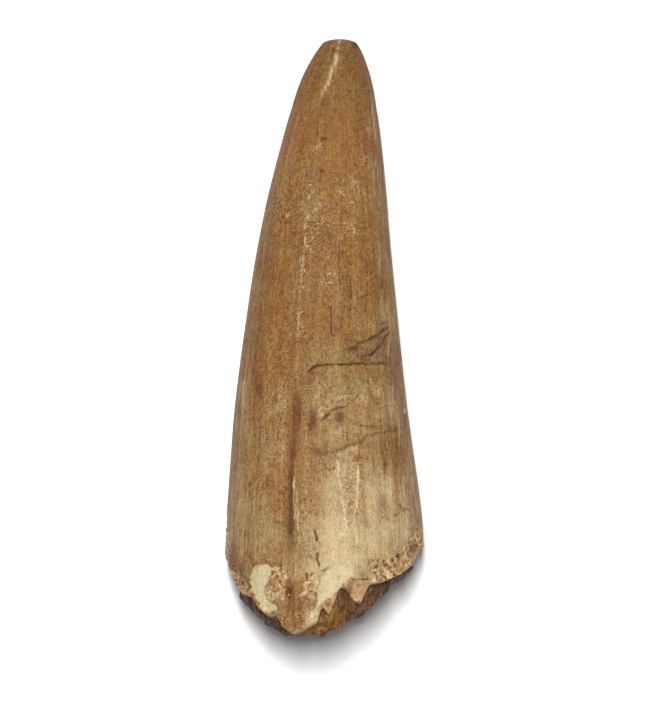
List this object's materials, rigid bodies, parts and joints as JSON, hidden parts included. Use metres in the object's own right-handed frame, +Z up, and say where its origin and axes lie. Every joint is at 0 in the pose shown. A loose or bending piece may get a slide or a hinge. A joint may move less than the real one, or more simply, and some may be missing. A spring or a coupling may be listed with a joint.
{
  "type": "fossil elosuchus tooth",
  "caption": "Fossil crocodile-type tooth crown lying on its side: a slightly bent, fluted cone with two keels, a blunt worn tip and a broken root end.",
  "frame": {"origin": "middle of the tooth's footprint, on the surface it rests on", "axes": "+Y along the tooth towards its tip, +Z up from the surface that it rests on"},
  "size_m": [0.02, 0.06, 0.0201],
  "materials": {
    "fossil_tooth": "satin brown enamel with fine lengthwise striae, paler towards the root, with chalky dentine and dark amber stone at the broken end"
  },
  "bodies": {
    "root": {"tooth": "fossil_tooth"}
  },
  "joints": []
}
